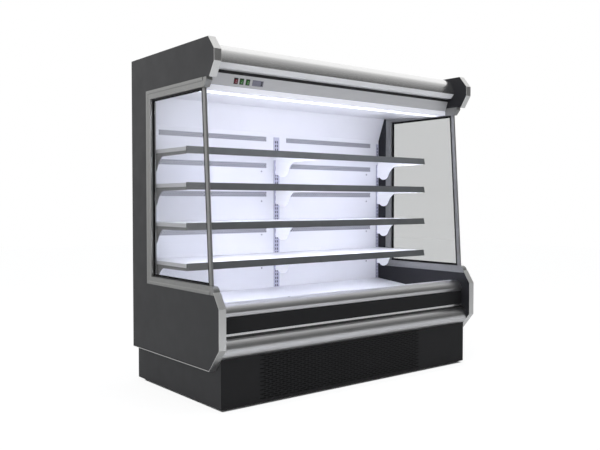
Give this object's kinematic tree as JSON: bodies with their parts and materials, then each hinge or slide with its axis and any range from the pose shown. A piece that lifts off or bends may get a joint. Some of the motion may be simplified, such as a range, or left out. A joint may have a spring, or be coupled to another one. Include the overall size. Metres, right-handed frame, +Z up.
{
  "type": "open multideck display fridge",
  "caption": "Open-front refrigerated display cabinet with hooked shelves, glazed side windows, faceted end panels, a bulged canopy and a slotted kick plate.",
  "frame": {"origin": "centre of the footprint on the floor", "axes": "+X along the cabinet's length, the open front faces -Y, +Z up"},
  "size_m": [2.091, 1.03, 2],
  "materials": {
    "charcoal_coat": "satin charcoal powder coat",
    "plinth_coat": "satin dark grey coat",
    "kick_coat": "satin near-black coat",
    "white_coat": "glossy white coat",
    "nose_metal": "satin anodised",
    "frame_metal": "satin grey anodised",
    "seal": "matt",
    "pane": "clear, with aluminium spacer",
    "canopy_coat": "satin light grey",
    "infill_coat": "satin mid grey",
    "fascia_coat": "satin silver grey",
    "diffuser": "translucent white",
    "lamp": "frosted white",
    "outlet": "moulded pale grey",
    "bumper": "satin extruded grey",
    "black_front": "gloss black",
    "bright_strip": "bright",
    "rail": "satin grey extrusion",
    "galvanised": "galvanised",
    "fins": "finned block",
    "copper": "bright copper",
    "compressor_coat": "satin black",
    "foot": "zinc plated",
    "black_plastic": "fine grain",
    "red_lens": "translucent red",
    "green_lens": "translucent green"
  },
  "bodies": {
    "cabinet": {"base_frame": "galvanised", "levelling_feet": "foot", "base_plate": "galvanised", "plinth_panels": "plinth_coat", "kick_plate": "kick_coat", "insulated_body": "white_coat", "end_panel_left": "charcoal_coat", "end_panel_right": "charcoal_coat", "nose_trims_left": "nose_metal", "nose_trims_right": "nose_metal", "glass_frame_left": "frame_metal", "glass_frame_right": "frame_metal", "glass_front_bars": "frame_metal", "glass_gaskets": "seal", "side_glass_left": "pane", "side_glass_right": "pane", "back_panels": "white_coat", "uprights": "white_coat", "canopy_profile": "canopy_coat", "canopy_infill_strip": "infill_coat", "control_fascia": "fascia_coat", "light_diffuser": "diffuser", "air_outlet": "outlet", "ceiling_panels": "white_coat", "upper_bumper": "bumper", "front_panel": "black_front", "front_trim_strips": "bright_strip", "lower_bumper": "bumper", "return_air_grille": "white_coat", "shelf_trays_1": "white_coat", "shelf_trays_2": "white_coat", "shelf_trays_3": "white_coat", "shelf_trays_4": "white_coat", "shelf_rails": "rail", "shelf_brackets": "white_coat", "led_lamps": "lamp", "panel_screws": "foot", "evaporator_coil": "fins", "fan_plate": "galvanised", "fan_motors": "compressor_coat", "drain_parts": "black_plastic", "condenser_coil": "fins", "compressor": "compressor_coat", "refrigerant_pipes": "copper", "electrical_box": "galvanised", "cable_gland": "black_plastic", "rocker_bezels": "black_plastic", "controller": "black_plastic"},
    "rocker_1": {"rocker_1": "red_lens"},
    "rocker_2": {"rocker_2": "green_lens"},
    "rocker_3": {"rocker_3": "green_lens"},
    "controller_button_1": {"controller_button_1": "black_plastic"},
    "controller_button_2": {"controller_button_2": "black_plastic"},
    "controller_button_3": {"controller_button_3": "black_plastic"},
    "fan_blade_left": {"fan_blade_left": "black_plastic"},
    "fan_blade_centre": {"fan_blade_centre": "black_plastic"},
    "fan_blade_right": {"fan_blade_right": "black_plastic"},
    "condenser_fan_blade": {"condenser_fan_blade": "black_plastic"},
    "deck_tray_left": {"deck_tray_left": "white_coat"},
    "deck_tray_right": {"deck_tray_right": "white_coat"}
  },
  "joints": [
    {"name": "rocker_1_tilt", "type": "hinge", "parent": "cabinet", "child": "rocker_1", "pos_m": [-0.793, -0.29461, 1.80467], "axis": [1, 0, 0], "range_deg": [-20, 0]},
    {"name": "rocker_2_tilt", "type": "hinge", "parent": "cabinet", "child": "rocker_2", "pos_m": [-0.7545, -0.29461, 1.80467], "axis": [1, 0, 0], "range_deg": [-20, 0]},
    {"name": "rocker_3_tilt", "type": "hinge", "parent": "cabinet", "child": "rocker_3", "pos_m": [-0.7125, -0.29461, 1.80467], "axis": [1, 0, 0], "range_deg": [-20, 0]},
    {"name": "button_1_press", "type": "slide", "parent": "cabinet", "child": "controller_button_1", "axis": [0, 0.9427, 0.3336], "range_m": [0, 0.0008], "stiffness_N_per_m": 800},
    {"name": "button_2_press", "type": "slide", "parent": "cabinet", "child": "controller_button_2", "axis": [0, 0.9427, 0.3336], "range_m": [0, 0.0008], "stiffness_N_per_m": 800},
    {"name": "button_3_press", "type": "slide", "parent": "cabinet", "child": "controller_button_3", "axis": [0, 0.9427, 0.3336], "range_m": [0, 0.0008], "stiffness_N_per_m": 800},
    {"name": "fan_left_spin", "type": "hinge", "parent": "cabinet", "child": "fan_blade_left", "pos_m": [-0.6, -0.01, 0.415], "axis": [0, -1, 0], "continuous": true},
    {"name": "fan_centre_spin", "type": "hinge", "parent": "cabinet", "child": "fan_blade_centre", "pos_m": [0, -0.01, 0.415], "axis": [0, -1, 0], "continuous": true},
    {"name": "fan_right_spin", "type": "hinge", "parent": "cabinet", "child": "fan_blade_right", "pos_m": [0.6, -0.01, 0.415], "axis": [0, -1, 0], "continuous": true},
    {"name": "condenser_fan_spin", "type": "hinge", "parent": "cabinet", "child": "condenser_fan_blade", "pos_m": [-0.31, -0.327, 0.1725], "axis": [0, 1, 0], "continuous": true},
    {"name": "deck_tray_left_lift", "type": "slide", "parent": "cabinet", "child": "deck_tray_left", "axis": [0, 0, 1], "range_m": [0, 0.06]},
    {"name": "deck_tray_right_lift", "type": "slide", "parent": "cabinet", "child": "deck_tray_right", "axis": [0, 0, 1], "range_m": [0, 0.06]}
  ]
}
